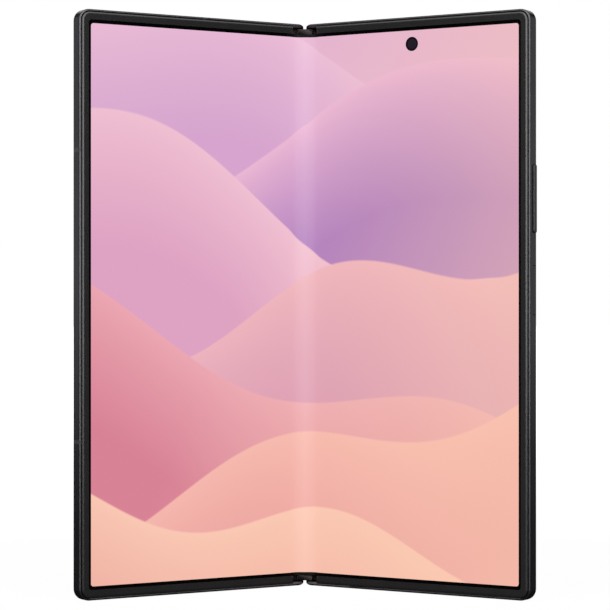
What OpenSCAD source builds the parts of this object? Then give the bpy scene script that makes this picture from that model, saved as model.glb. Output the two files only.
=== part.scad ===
// Folding handset: two thin halves on a geared hinge, standing partly open.
// X right, Y away from the viewer, Z up. Millimetres.
// Each half is drawn flat in its own coordinates, u outwards from the fold line,
// v from the inner screen's side to the back, z up, and is then swung about its hinge axis.

/* [Body] */
// Height of both halves
body_h = 158.4; // [157:0.2:160]
// Width of one half, from the fold line to its outer edge
half_w = 71.6; // [71:0.1:73]
// Thickness of one half
body_t = 4.2; // [4.2:0.02:4.3]
// Radius of the outer corners
corner_r = 3.1; // [2.8:0.1:3.6]
// Radius along the back edges
edge_r = 0.65; // [0.4:0.05:0.75]
// Depth of the metal's front edge below the bezel's face
front_v = 0.2; // [0.15:0.01:0.25]
// Radius along the metal's front edges, which is also the width of the ridge beside the seam
front_r = 0.45; // [0.4:0.01:0.5]
// Width of the metal rim beside the inner screen
rim_w = 1; // [0.95:0.01:1.05]
// Width of the metal rim beside the back glass
back_rim = 0.9; // [0.85:0.05:1]
// Thickness of the frame's side walls
wall = 1.3; // [1.25:0.05:1.35]

/* [Hinge] */
// Angle that each half is swung up from flat
half_fold = 32; // [28:1:33]
// Depth of both hinge axes below the inner face
axis_v = 1.9; // [1.88:0.01:1.92]
// Gap between the closed halves
closed_gap = 0.4; // [0.36:0.02:0.44]
// Clearance between the hinge cover and the swinging back edges
cover_gap = 0.1; // [0.08:0.01:0.12]
// Wall of the hinge cover
cover_t = 0.35; // [0.32:0.01:0.36]
// Depth of the notch at each end of the hinge
notch_d = 1.4; // [1.35:0.05:1.5]
// Teeth on each gear
teeth = 10; // [10:2:10]
// Pitch radius of the gears
pitch_r = 0.7; // [0.7:0.01:0.7]
// Radius of the outer shafts
shaft_r = 0.4; // [0.38:0.01:0.41]
// Radius of the idlers' journals
journal_r = 0.35; // [0.33:0.01:0.36]
// Radial clearance in the bearings
run_fit = 0.05; // [0.03:0.01:0.06]
// Length of one arm's barrel
arm_len = 3.2; // [3:0.05:3.25]
// Width of each support wing
wing_w = 4.4; // [4.2:0.05:4.45]
// Tilt of the support wings when the phone is closed
wing_closed = 16; // [15:0.5:16.5]

/* [Screen] */
// Distance from the fold line to where the screen stays flat
flex_u = 6; // [5.9:0.05:6.1]
// Depth of the screen below the rim
screen_v = 0.3; // [0.3:0.01:0.32]
// Thickness of the screen
screen_t = 0.35; // [0.33:0.01:0.36]
// Thickness of the plate behind the screen
plate_t = 0.3; // [0.28:0.01:0.31]
// Thickness of the frame's middle plate
mid_t = 0.45; // [0.43:0.01:0.46]
// Distance of the soft bezel from the outer edge
bezel_in = 0.7; // [0.65:0.01:0.72]
// Distance of the soft bezel's ends from the fold line
bezel_u = 4.5; // [4.2:0.1:4.8]
// Width of the soft bezel along the outer edge
bezel_side = 2.05; // [2:0.05:2.15]
// Width of the soft bezel along the top and the bottom
bezel_end = 2.15; // [2.1:0.05:2.2]
// Thickness of the back glass
glass_t = 0.4; // [0.38:0.01:0.42]

/* [Cameras] */
// Diameter of the hole in the inner screen
punch_d = 3.9; // [3.7:0.1:4]
// Distance of the inner camera from the fold line
inner_cam_u = 35.3; // [34.5:0.1:36.5]
// Distance of the inner camera from the top
inner_cam_top = 7.5; // [7:0.1:8]
// Width of the camera island
island_w = 20; // [19:0.5:20.5]
// Height of the camera island
island_h = 60; // [58:1:61]
// Height that the island stands off the back glass
island_t = 2.2; // [1.8:0.1:2.4]
// Distance between neighbouring lenses
lens_pitch = 18; // [17.5:0.25:18.5]

/* [Keys] */
// Height of the power key's lower end
power_z = 76.5; // [75:0.5:78]
// Length of the power key
power_len = 13.2; // [12:0.2:14]
// Height of the volume key's lower end
volume_z = 98.5; // [97:0.5:100]
// Length of the volume key
volume_len = 18.2; // [17:0.1:19]
// Width of both keys
key_w = 1.7; // [1.5:0.05:1.75]
// Height that the volume key stands off the side
volume_out = 0.35; // [0.2:0.05:0.45]
// Travel of the power key
power_travel = 0.25; // [0.2:0.01:0.26]
// Gap around both keys
key_gap = 0.08; // [0.06:0.01:0.1]

/* [Hidden] */
fine = 64;
eps = 0.01;
axis_u = axis_v + closed_gap / 2;
nose_r = axis_u - 0.4;
notch_r = 2.4;
lip_t = 0.45;
lip_v = body_t - lip_t;
lip_u = 0.15;
cover_r = lip_v - cover_gap - axis_v;
cover_in_r = cover_r - cover_t;
cover_out_v = axis_v + cover_r;
cover_in_v = axis_v + cover_in_r;
cover_top_v = 2.95;
strip_h = axis_v - screen_v;
strip_h_in = strip_h - screen_t;
plate_v = screen_v + screen_t;
mid_v = plate_v + plate_t;
cav_v = mid_v + mid_t;
glass_v = body_t - glass_t;
screen_end = 2;
border_end = 2.95;
wing_pivot_u = 7.6;
wing_pivot_v = 0.95;
wing_v0 = 0.7;
wing_v1 = 1;
wing_end = 4.5;
wing_pin_r = 0.2;
rib_u0 = 8.6;
rib_u1 = 9.4;
wing_tilt = wing_closed * half_fold / 90;
seat_v = 0.4;
foot_in = bezel_in + 0.05;
ledge_u = 5;
ledge_v = 2.85;
shelf_u = 3.7;
shelf_v = 3.3;
glass_u = 4.2;
cav_u1 = half_w - wall;
cav_r = corner_r - wall;
steps = 12;
tooth_up = 0.12;
tooth_down = 0.15;
tooth_root = 12;
tooth_pitch = 7.6;
tooth_tip = 3.4;
module_z = [16, body_h / 2, body_h - 16];
ear_t = 1.5;
gear_bay = 2;
arm_bay = 4;
gear_w = 1.8;
module_len = 3 * ear_t + gear_bay + arm_bay;
arm_z0 = 2 * ear_t + gear_bay + (arm_bay - arm_len) / 2;
ear_r = 0.85;
ear_v = axis_v - ear_r;
base_v0 = 3;
base_v1 = 3.28;
tab_len = 3.2;
tab_u = 1.6;
tab_v = 2.5;
boss_r = 0.75;
boss_hole_r = 0.4;
disc_r = 1;
disc_t = 0.28;
barrel_r = 1.05;
arm_v0 = 2.35;
arm_u1 = 8.3;
arm_screw_u = 6.9;
seat_gap = 0.02;
cable_z = [38, body_h - 53.4];
cable_len = 12;
cable_t = 0.12;
slot_v0 = 1.85;
slot_v1 = 2.25;
key_v = 2.75;
port_u = half_w / 2 + 0.2;
port_v = 2.2;
port_w = 8.74;
port_h = 2.96;
port_wall = 0.2;
port_len = 7.2;
tray_u = 20;
tray_face_w = 13.4;
tray_face_t = 1.9;
tray_v = 2.5;
tray_w = 12.2;
tray_t = 0.7;
tray_len = 16.5;
seal_t = 0.25;
island_u = half_w - 14.6;
island_z = body_h - 6.4 - island_h / 2;
lens_hole_r = 5;
lens_r = 4.4;
module_side = 11;
flash_u = island_u - island_w / 2 + 3.2;
flash_z = island_z + lens_pitch / 2;
flash_r = 1.3;
break_w = 0.9;
break_z = [42.5, body_h - 37.8];
left_break_u = 33;
right_break_u = 15;
cover_lit_u0 = rib_u1 + 0.2;
cover_lit_u1 = cav_u1 - 0.4;
cover_cam_u = (cover_lit_u0 + cover_lit_u1) / 2;
cover_cam_z = body_h - 8.4;
cover_cam_r = 1.7;
cover_cam_side = 6.8;
inner_cam_side = 6.4;
ear_slot_u = half_w - 21.6;
ear_slot_w = 12;
ear_slot_h = 0.7;
ear_slot_in = back_rim + 0.9;
ear_unit_u0 = cover_cam_u + cover_cam_side / 2 + 0.4;
ear_unit_u1 = ear_slot_u + ear_slot_w / 2 + 1;
ear_unit_h = 10.5;
lay_gap = 0.1;
lay_v = cav_v + lay_gap;
board_t = 0.6;
board_v = lay_v + board_t;
can_t = 1;
cell_r = 1.5;
cell_gap = 3;
pack_u0 = rib_u1 + 2.6;
magnet_w = 2;
magnet_t = 1.5;
magnet_len = 14;
magnet_u0 = cav_u1 - 0.3 - magnet_w;
left_magnet_z = [46, 70, 94];
right_magnet_z = [20, 44];
sub_board_z0 = 4;
sub_board_z1 = 27;
left_cell_u1 = magnet_u0 - 1;
left_cell_z1 = body_h - 32.4;
board_u0 = rib_u1 + 1.6;
board_u1 = cav_u1 - 2.8;
board_z0 = island_z - island_h / 2 + 1;
can_gap = 3;
can_u0 = board_u0 + 2;
can_w = (island_u - 9 - can_u0 - can_gap) / 2;
can_u1 = can_u0 + can_w + can_gap;
can_z0 = board_z0 + 3;
can_split = can_z0 + 20;
can_step = 6;
can_aisle = 4;
can_top = body_h - 14.4;
cam_clear_z = body_h - inner_cam_top - inner_cam_side / 2 - 0.3;
right_cell_u1 = cav_u1 - 4.3;
right_cell_z0 = 23;
right_cell_z1 = board_z0 - cell_gap;
coil_u = (pack_u0 + right_cell_u1) / 2;
coil_z = (right_cell_z0 + right_cell_z1) / 2;
coil_r = (right_cell_u1 - pack_u0) / 2 - 5;
motor_w = 10;
motor_z0 = 4;
motor_z1 = 19;
speaker_u1 = cav_u1 - 3.8;
speaker_u0 = speaker_u1 - 17.5;
speaker_z1 = 18;
speaker_hole_r = 0.55;
speaker_pitch = 2.4;
mic_u = 24;
mic_r = 0.4;
hole_v = 2.3;
pin_hole_u = tray_u + 9.4;
switch_u0 = cav_u1 - 1.9;
switch_t = 0.3;
key_flange = 0.35;
rock_u = cav_u1 - key_flange;
rock_r = 0.3;
switch_u1 = cav_u1 - key_flange - power_travel - 0.2;
reach_arc = (half_w - front_r - axis_u) * sin(half_fold) + front_r;
reach_bezel = (half_w - bezel_in - axis_u) * sin(half_fold);
y_arc = reach_arc + (axis_v - front_v - front_r) * cos(half_fold);
y_bezel = reach_bezel + axis_v * cos(half_fold);
y_min = axis_v - max(y_arc, y_bezel);
y_max = axis_v - (lip_u - axis_u) * sin(half_fold) + (body_t - axis_v) * cos(half_fold);
y_shift = -(y_min + y_max) / 2;

// ---- placing ----

// The hinge itself, which doesn't swing.
module on_hinge() {
    translate([0, y_shift, 0])
        children();
}

// The right half, swung towards the viewer about its own axis.
module on_right() {
    translate([axis_u, axis_v + y_shift, 0])
        rotate([0, 0, -half_fold])
            translate([-axis_u, -axis_v, 0])
                children();
}

// The left half is placed as the right half's mirror image.
module on_left() {
    mirror([1, 0, 0])
        on_right()
            children();
}

// The same shape at the bottom end and at the top end.
module both_ends() {
    children();
    translate([0, 0, body_h])
        mirror([0, 0, 1])
            children();
}

// ---- shapes ----

module box(u0, u1, v0, v1, z0, z1) {
    translate([u0, v0, z0])
        cube([u1 - u0, v1 - v0, z1 - z0]);
}

// A round bar along z.
module rod(u, v, z0, z1, r) {
    translate([u, v, z0])
        cylinder(r = r, h = z1 - z0, $fn = fine);
}

// A round bar along v.
module post(u, z, v0, v1, r) {
    translate([u, v1, z])
        rotate([90, 0, 0])
            cylinder(r = r, h = v1 - v0, $fn = fine);
}

// A plate from v0 to v1 of an outline drawn in u and z.
module slab(v0, v1) {
    translate([0, v1, 0])
        rotate([90, 0, 0])
            linear_extrude(height = v1 - v0)
                children();
}

// A bar from u0 to u1 of a section drawn in v and z.
module bar(u0, u1) {
    translate([u0, 0, 0])
        rotate([90, 0, 90])
            linear_extrude(height = u1 - u0)
                children();
}

// A bar from z0 to z1 of a section drawn in u and v.
module beam(z0, z1) {
    translate([0, 0, z0])
        linear_extrude(height = z1 - z0)
            children();
}

module rect(x0, x1, y0, y1) {
    translate([x0, y0])
        square([x1 - x0, y1 - y0]);
}

module dot(x, y, r) {
    translate([x, y])
        circle(r = r, $fn = fine);
}

// A rectangle with one radius at its left corners and another at its right corners.
module round_rect(x0, x1, y0, y1, r_left, r_right) {
    xm = (x0 + x1) / 2;
    rect(x0 + r_left, x1 - r_right, y0, y1);
    rect(x0, xm, y0 + r_left, y1 - r_left);
    rect(xm, x1, y0 + r_right, y1 - r_right);
    for (y = [y0 + r_left, y1 - r_left])
        dot(x0 + r_left, y, r_left);
    for (y = [y0 + r_right, y1 - r_right])
        dot(x1 - r_right, y, r_right);
}

// The outline of one half's layer: square at the hinge, round at the outer corners.
module half_outline(u0, inset, r) {
    u1 = half_w - inset;
    rect(u0, u1 - r, inset, body_h - inset);
    rect(u1 - r - eps, u1, inset + r, body_h - inset - r);
    for (z = [inset + r, body_h - inset - r])
        dot(u1 - r, z, r);
}

module square_at(x, y, side) {
    h = side / 2;
    round_rect(x - h, x + h, y - h, y + h, 0.4, 0.4);
}

module stadium(x, y, w, h) {
    r = min(w, h) / 2;
    round_rect(x - w / 2, x + w / 2, y - h / 2, y + h / 2, r - eps / 10, r - eps / 10);
}

// ---- frame ----

// The section of the frame's edge: the outer side at x = depth, v along y.
module rim_section(depth) {
    rect(0, depth - edge_r, front_v + front_r, body_t);
    rect(0, depth - front_r, front_v, body_t - edge_r);
    rect(0, depth, front_v + front_r, body_t - edge_r);
    dot(depth - edge_r, body_t - edge_r, edge_r);
    dot(depth - front_r, front_v + front_r, front_r);
}

// A quarter turn of that section about a corner of the given radius.
module rim_corner(u, r, start) {
    translate([u, 0, r])
        rotate([-90, 0, 0])
            rotate([0, 0, start])
                rotate_extrude(angle = 90, $fn = fine)
                    rim_section(r);
}

// The outer form of one half: a plate with a round nose about the hinge axis and round edges.
module half_form() {
    intersection() {
        beam(-1, body_h + 1) {
            rect(axis_u, half_w + 1, -1, body_t + 1);
            dot(axis_u, axis_v, nose_r);
            rect(lip_u, axis_u + eps, lip_v, body_t + 1);
        }
        union() {
            box(lip_u, half_w - corner_r + eps, front_v, body_t, notch_r, body_h - notch_r);
            beam(corner_r, body_h - corner_r)
                translate([half_w - corner_r, 0])
                    rim_section(corner_r);
            both_ends() {
                bar(lip_u + notch_r, half_w - corner_r)
                    translate([0, corner_r])
                        rotate(-90)
                            rim_section(corner_r);
                rim_corner(half_w - corner_r, corner_r, 0);
                rim_corner(lip_u + notch_r, notch_r, 90);
            }
        }
    }
}

// What is cut away for the screen, the hinge, the inner space and the back glass.
module half_hollow() {
    slab(-1, seat_v)
        half_outline(-2, front_r, corner_r - front_r);
    slab(-1, mid_v)
        half_outline(-2, rim_w, corner_r - rim_w);
    slab(-1, lip_v)
        rect(-2, ledge_u, wall, body_h - wall);
    slab(-1, ledge_v)
        rect(-2, rib_u0, wall, body_h - wall);
    slab(cav_v, glass_v + eps) {
        rect(rib_u1, cav_u1 - cav_r, wall, body_h - wall);
        rect(cav_u1 - cav_r - eps, cav_u1, wall + cav_r, body_h - wall - cav_r);
        for (z = [wall + cav_r, body_h - wall - cav_r])
            dot(cav_u1 - cav_r, z, cav_r);
    }
    slab(glass_v, body_t + 1)
        half_outline(glass_u, back_rim, corner_r - back_rim);
}

// The shelf that carries the back glass beside the hinge, and the wings' lugs.
module half_shelf() {
    box(shelf_u, ledge_u + eps, shelf_v, glass_v, wall - eps, body_h - wall + eps);
    box(shelf_u, glass_u, shelf_v, body_t - eps, wall + 1, body_h - wall - 1);
    both_ends()
        difference() {
            union() {
                box(7, 8, plate_v + seat_gap, 1.7, wing_end - 1.3, wing_end - 0.1);
                box(7.5, rib_u0 + eps, mid_v + seat_gap, 1.7, wing_end - 1.3, wing_end - 0.1);
            }
            rod(wing_pivot_u, wing_pivot_v, wing_end - 1, wing_end, wing_pin_r + run_fit);
        }
}

module cable_slots() {
    for (z = cable_z)
        box(rib_u0 - 1, rib_u1 + 1, slot_v0, slot_v1, z - 0.3, z + cable_len + 0.3);
}

module arm_screw_holes() {
    for (z = module_z)
        post(arm_screw_u, z - module_len / 2 + arm_z0 + arm_len / 2, arm_v0 - 1, shelf_v + 0.3, 0.32);
}

module half_frame() {
    difference() {
        union() {
            difference() {
                half_form();
                half_hollow();
            }
            half_shelf();
        }
        cable_slots();
        arm_screw_holes();
    }
}

// Slots for the plastic breaks in the metal: in the outer wall, and in one end wall.
module side_break_slots() {
    for (z = break_z)
        box(cav_u1 - 0.5, half_w + 1, -1, body_t + 1, z - break_w / 2, z + break_w / 2);
}

module end_break_slots(u) {
    both_ends()
        box(u - break_w / 2, u + break_w / 2, -1, body_t + 1, -1, wall + 0.5);
}

// ---- left half ----

module left_breaks_zone() {
    side_break_slots();
    end_break_slots(left_break_u);
}

module ear_slot() {
    slab(body_t - 1.4, body_t + 1)
        stadium(ear_slot_u, body_h - ear_slot_in, ear_slot_w, ear_slot_h);
}

module tray_opening(grow) {
    beam(body_h - wall - 0.6, body_h + 1)
        stadium(tray_u, tray_v, tray_face_w + 2 * grow, tray_face_t + 2 * grow);
}

module left_frame() {
    color([0.13, 0.13, 0.14])
        on_left()
            difference() {
                half_frame();
                left_breaks_zone();
                tray_opening(seal_t);
                beam(body_h - wall - 1, body_h + 1)
                    dot(pin_hole_u, tray_v, mic_r);
            }
}

module left_antenna_breaks() {
    color([0.2, 0.2, 0.21])
        on_left()
            intersection() {
                difference() {
                    half_form();
                    half_hollow();
                }
                left_breaks_zone();
            }
}

// ---- layers that both halves share ----

// The soft bezel: a ring that is open towards the hinge, on a narrow glued foot.
module bezel_ring() {
    difference() {
        union() {
            slab(0, screen_v)
                half_outline(bezel_u, bezel_in, corner_r - bezel_in);
            slab(screen_v - eps, seat_v)
                half_outline(bezel_u, foot_in, corner_r - foot_in);
        }
        slab(-1, screen_v + eps)
            bezel_opening(bezel_in + bezel_side, bezel_in + bezel_end, 0.8);
        slab(screen_v, seat_v + 1)
            bezel_opening(rim_w - 0.05, rim_w - 0.05, corner_r - rim_w);
    }
}

module bezel_opening(side, end, r) {
    round_rect(-10, half_w - side, end, body_h - end, 0.5, r);
}

// The screen's flat part.
module screen_sheet() {
    slab(screen_v, plate_v)
        half_outline(flex_u, screen_end, 0.8);
}

// The stiff plate behind the screen.
module backing_plate() {
    slab(plate_v, mid_v)
        half_outline(wing_pivot_u + 0.45, 1.2, corner_r - 1.2);
}

module back_glass_sheet() {
    slab(glass_v, body_t)
        half_outline(glass_u + 0.04, back_rim + 0.04, corner_r - back_rim - 0.04);
}

module left_bezel() {
    color([0.05, 0.05, 0.055])
        on_left()
            bezel_ring();
}

module right_bezel() {
    color([0.05, 0.05, 0.055])
        on_right()
            bezel_ring();
}

module left_display_plate() {
    color([0.5, 0.5, 0.52])
        on_left()
            backing_plate();
}

module right_display_plate() {
    color([0.5, 0.5, 0.52])
        on_right()
            difference() {
                backing_plate();
                post(inner_cam_u, body_h - inner_cam_top, 0, cav_v, punch_d / 2 + 0.05);
                box(port_u - port_w / 2 - 0.4, port_u + port_w / 2 + 0.4, 0, cav_v, 0, port_len + 0.5);
            }
}

module main_display_left() {
    color([0.87, 0.69, 0.79])
        on_left()
            screen_sheet();
}

module main_display_right() {
    color([0.93, 0.74, 0.72])
        on_right()
            difference() {
                screen_sheet();
                post(inner_cam_u, body_h - inner_cam_top, 0, cav_v, punch_d / 2);
            }
}

// ---- the fold of the screen ----

function ease(t) = t * t * (3 - 2 * t);
function turn(u) = ease(u / flex_u) * half_fold;
function strip_x(u, h) = axis_u + (u - axis_u) * cos(turn(u)) - h * sin(turn(u));
function strip_y(u, h) = axis_v - (u - axis_u) * sin(turn(u)) - h * cos(turn(u));
function strip_point(u, h, s) = [s * strip_x(u, h), strip_y(u, h)];
function strip_side(h, s) = [for (i = [0:steps]) strip_point(flex_u * i / steps, h, s)];
function backwards(p) = [for (i = [len(p) - 1:-1:0]) p[i]];
function without_first(p) = [for (i = [1:len(p) - 1]) p[i]];

module main_display_fold() {
    outer = concat(backwards(strip_side(strip_h, -1)), without_first(strip_side(strip_h, 1)));
    inner = concat(backwards(strip_side(strip_h_in, 1)), without_first(strip_side(strip_h_in, -1)));
    color([0.9, 0.72, 0.75])
        on_hinge()
            beam(border_end, body_h - border_end)
                polygon(concat(outer, inner));
}

// ---- hinge ----

module tray_section(r, v1) {
    dot(axis_u, axis_v, r);
    dot(-axis_u, axis_v, r);
    rect(-axis_u, axis_u, axis_v, v1);
}

module boss_places() {
    for (z = module_z)
        for (s = [-tab_len / 2, module_len + tab_len / 2])
            translate([0, 0, z - module_len / 2 + s])
                children();
}

module spine_cover() {
    color([0.16, 0.15, 0.15])
        on_hinge() {
            beam(notch_d, body_h - notch_d)
                difference() {
                    tray_section(cover_r, cover_out_v);
                    tray_section(cover_in_r, cover_in_v);
                    rect(-5, 5, -5, cover_top_v);
                }
            boss_places()
                difference() {
                    post(0, 0, tab_v, cover_in_v + 0.1, boss_r);
                    post(0, 0, 0, cover_in_v - 0.05, boss_hole_r);
                }
        }
}

module spine_end_caps() {
    color([0.3, 0.27, 0.26])
        on_hinge()
            both_ends()
                beam(notch_d, border_end - seat_gap) {
                    intersection() {
                        tray_section(cover_in_r - seat_gap, cover_in_v - seat_gap);
                        rect(-4, 4, 2, 5);
                    }
                    rect(-1.9, 1.9, 0.6, 2.5);
                    rect(-2.3, 2.3, 1, 2.5);
                    dot(-1.9, 1, 0.4);
                    dot(1.9, 1, 0.4);
                }
}

module ear(z0, z1) {
    beam(z0, z1)
        difference() {
            union() {
                rect(-axis_u, axis_u, ear_v, base_v1);
                dot(axis_u, axis_v, ear_r);
                dot(-axis_u, axis_v, ear_r);
            }
            for (s = [-1, 1]) {
                dot(s * axis_u, axis_v, shaft_r + run_fit);
                dot(s * pitch_r, axis_v, journal_r + run_fit);
            }
        }
}

module bracket() {
    z1 = ear_t + gear_bay;
    ear(0, ear_t);
    ear(z1, z1 + ear_t);
    ear(module_len - ear_t, module_len);
    box(-axis_u, axis_u, base_v0, base_v1, 0, module_len);
    for (z = [-tab_len, module_len])
        difference() {
            box(-tab_u, tab_u, tab_v, base_v1, z, z + tab_len);
            post(0, z + tab_len / 2, 0, 5, boss_r + seat_gap);
        }
}

module hinge_brackets() {
    color([0.55, 0.55, 0.57])
        on_hinge()
            for (z = module_z)
                translate([0, 0, z - module_len / 2])
                    bracket();
}

module bracket_screws() {
    color([0.7, 0.7, 0.72])
        on_hinge()
            boss_places()
                difference() {
                    union() {
                        post(0, 0, tab_v - 0.3, tab_v, 1.1);
                        post(0, 0, tab_v - 0.1, cover_in_v - 0.15, boss_hole_r - seat_gap);
                    }
                    box(-0.7, 0.7, 0, tab_v - 0.18, -0.12, 0.12);
                    box(-0.12, 0.12, 0, tab_v - 0.18, -0.7, 0.7);
                }
}

module center_rail() {
    color([0.35, 0.35, 0.37])
        on_hinge()
            box(-0.9, 0.9, ear_v - 0.19, ear_v, border_end + 0.3, body_h - border_end - 0.3);
}

module friction_discs() {
    z0 = 2 * ear_t + gear_bay;
    color([0.72, 0.66, 0.5])
        on_hinge()
            for (z = module_z)
                for (s = [-1, 1])
                    for (d = [0, arm_bay - disc_t])
                        translate([0, 0, z - module_len / 2 + z0 + d])
                            difference() {
                                rod(s * axis_u, axis_v, 0, disc_t, disc_r);
                                rod(s * axis_u, axis_v, -1, 1, shaft_r + run_fit);
                            }
}

function tooth(a) = [
    [pitch_r - tooth_down, a - tooth_root], [pitch_r, a - tooth_pitch], [pitch_r + tooth_up, a - tooth_tip],
    [pitch_r + tooth_up, a + tooth_tip], [pitch_r, a + tooth_pitch], [pitch_r - tooth_down, a + tooth_root]
];
function gear_points() = [
    for (k = [0:teeth - 1])
        for (p = tooth(k * 360 / teeth))
            [p[0] * cos(p[1]), p[0] * sin(p[1])]
];

// A gear and its shaft in one piece, with one tooth at the given angle.
module pinion(u, angle, r, z0, z1) {
    g0 = ear_t + (gear_bay - gear_w) / 2;
    for (z = module_z)
        translate([u, axis_v, z - module_len / 2]) {
            translate([0, 0, g0])
                rotate([0, 0, angle])
                    linear_extrude(height = gear_w)
                        polygon(gear_points());
            translate([0, 0, z0])
                cylinder(r = r, h = z1 - z0, $fn = fine);
        }
}

module right_gear_shafts() {
    color([0.75, 0.75, 0.77])
        on_right()
            pinion(axis_u, 0, shaft_r, 0.1, module_len - 0.1);
}

module left_gear_shafts() {
    color([0.75, 0.75, 0.77])
        on_left()
            pinion(axis_u, 180 / teeth, shaft_r, 0.1, module_len - 0.1);
}

module right_idler_gears() {
    color([0.75, 0.75, 0.77])
        on_hinge()
            pinion(pitch_r, 180 / teeth + half_fold, journal_r, 0.1, 2 * ear_t + gear_bay - 0.1);
}

module left_idler_gears() {
    color([0.75, 0.75, 0.77])
        on_hinge()
            pinion(-pitch_r, -half_fold, journal_r, 0.1, 2 * ear_t + gear_bay - 0.1);
}

// The arms: a barrel on each outer shaft with a plate screwed under the screen.
module arms() {
    for (z = module_z)
        translate([0, 0, z - module_len / 2 + arm_z0])
            difference() {
                beam(0, arm_len) {
                    dot(axis_u, axis_v, barrel_r);
                    rect(axis_u, arm_u1, arm_v0, ledge_v);
                }
                rod(axis_u, axis_v, -1, arm_len + 1, shaft_r + seat_gap);
                post(arm_screw_u, arm_len / 2, 0, 5, 0.36);
            }
}

module arm_screws() {
    for (z = module_z)
        translate([0, 0, z - module_len / 2 + arm_z0 + arm_len / 2])
            difference() {
                union() {
                    post(arm_screw_u, 0, arm_v0 - 0.35, arm_v0, 0.8);
                    post(arm_screw_u, 0, arm_v0 - 0.1, shelf_v + 0.2, 0.3);
                }
                box(arm_screw_u - 0.5, arm_screw_u + 0.5, 0, arm_v0 - 0.2, -0.1, 0.1);
                box(arm_screw_u - 0.1, arm_screw_u + 0.1, 0, arm_v0 - 0.2, -0.5, 0.5);
            }
}

module right_hinge_arms() {
    color([0.6, 0.6, 0.62])
        on_right()
            arms();
}

module left_hinge_arms() {
    color([0.6, 0.6, 0.62])
        on_left()
            arms();
}

module right_arm_screws() {
    color([0.7, 0.7, 0.72])
        on_right()
            arm_screws();
}

module left_arm_screws() {
    color([0.7, 0.7, 0.72])
        on_left()
            arm_screws();
}

// A support wing, tilted about the bead along its outer edge.
module wing() {
    translate([wing_pivot_u, wing_pivot_v, 0])
        rotate([0, 0, -wing_tilt])
            translate([-wing_pivot_u, -wing_pivot_v, 0]) {
                beam(wing_end, body_h - wing_end) {
                    rect(wing_pivot_u - wing_w, wing_pivot_u, wing_v0, wing_v1);
                    dot(wing_pivot_u, wing_pivot_v, wing_pivot_v - wing_v0);
                }
                both_ends()
                    rod(wing_pivot_u, wing_pivot_v, wing_end - 0.9, wing_end + 0.5, wing_pin_r);
            }
}

module right_wing() {
    color([0.45, 0.45, 0.47])
        on_right()
            wing();
}

module left_wing() {
    color([0.45, 0.45, 0.47])
        on_left()
            wing();
}

// The flat cables: from one inner space, through the ribs and behind the shafts, to the other.
function half_x(u, v) = axis_u + (u - axis_u) * cos(half_fold) + (v - axis_v) * sin(half_fold);
function half_y(u, v) = axis_v - (u - axis_u) * sin(half_fold) + (v - axis_v) * cos(half_fold);
cable_uv = [[10.5, 2.05], [7.5, 2.05], [5.2, 2.2]];
cable_mid = [[1.4, 2.75], [0, 2.8]];
function cable_half(s, d) = concat(
    [for (p = cable_uv) [s * half_x(p[0], p[1] + d), half_y(p[0], p[1] + d)]],
    [for (p = cable_mid) [s * p[0], p[1] + d]]
);
function all_but_last(p) = [for (i = [0:len(p) - 2]) p[i]];
function cable_line(d) = concat(all_but_last(cable_half(-1, d)), backwards(cable_half(1, d)));

module hinge_flex() {
    color([0.75, 0.5, 0.2])
        on_hinge()
            for (z = cable_z)
                beam(z, z + cable_len)
                    polygon(concat(cable_line(0), backwards(cable_line(cable_t))));
}

// ---- inside the left half ----

module left_battery() {
    color([0.18, 0.18, 0.2])
        on_left()
            slab(lay_v, glass_v - 0.3)
                round_rect(pack_u0, left_cell_u1, sub_board_z1 + cell_gap, left_cell_z1, cell_r, cell_r);
}

module left_sub_board() {
    color([0.1, 0.28, 0.16])
        on_left()
            slab(lay_v, board_v)
                round_rect(pack_u0, magnet_u0, sub_board_z0, sub_board_z1, 1, 1);
}

module earpiece_speaker() {
    color([0.22, 0.22, 0.23])
        on_left()
            slab(lay_v, body_t - 1.45)
                round_rect(ear_unit_u0, ear_unit_u1, body_h - wall - 0.2 - ear_unit_h, body_h - wall - 0.2,
                    0.8, 0.8);
}

module earpiece_mesh() {
    color([0.1, 0.1, 0.1])
        on_left()
            slab(body_t - 0.4, body_t - 0.1)
                stadium(ear_slot_u, body_h - ear_slot_in, ear_slot_w - 0.1, ear_slot_h - 0.1);
}

module magnets(heights) {
    for (z = heights)
        box(magnet_u0, magnet_u0 + magnet_w, lay_v, lay_v + magnet_t, z, z + magnet_len);
}

module left_magnets() {
    color([0.6, 0.6, 0.62])
        on_left()
            magnets(left_magnet_z);
}

module right_magnets() {
    color([0.6, 0.6, 0.62])
        on_right()
            magnets(right_magnet_z);
}

module cover_glass() {
    color([0.03, 0.03, 0.035])
        on_left()
            difference() {
                back_glass_sheet();
                post(cover_cam_u, cover_cam_z, 0, 10, cover_cam_r);
                ear_slot();
            }
}

module cover_display() {
    color([0.06, 0.06, 0.07])
        on_left()
            difference() {
                slab(glass_v - 0.18, glass_v)
                    round_rect(cover_lit_u0, cover_lit_u1, wall + 1.1, body_h - wall - 2.1, 1.5, 1.5);
                post(cover_cam_u, cover_cam_z, 0, 10, cover_cam_r);
            }
}

module cover_camera() {
    color([0.08, 0.08, 0.1])
        on_left() {
            slab(lay_v, glass_v - 0.3)
                square_at(cover_cam_u, cover_cam_z, cover_cam_side);
            post(cover_cam_u, cover_cam_z, glass_v - 0.4, body_t - 0.1, cover_cam_r - seat_gap);
        }
}

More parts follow.
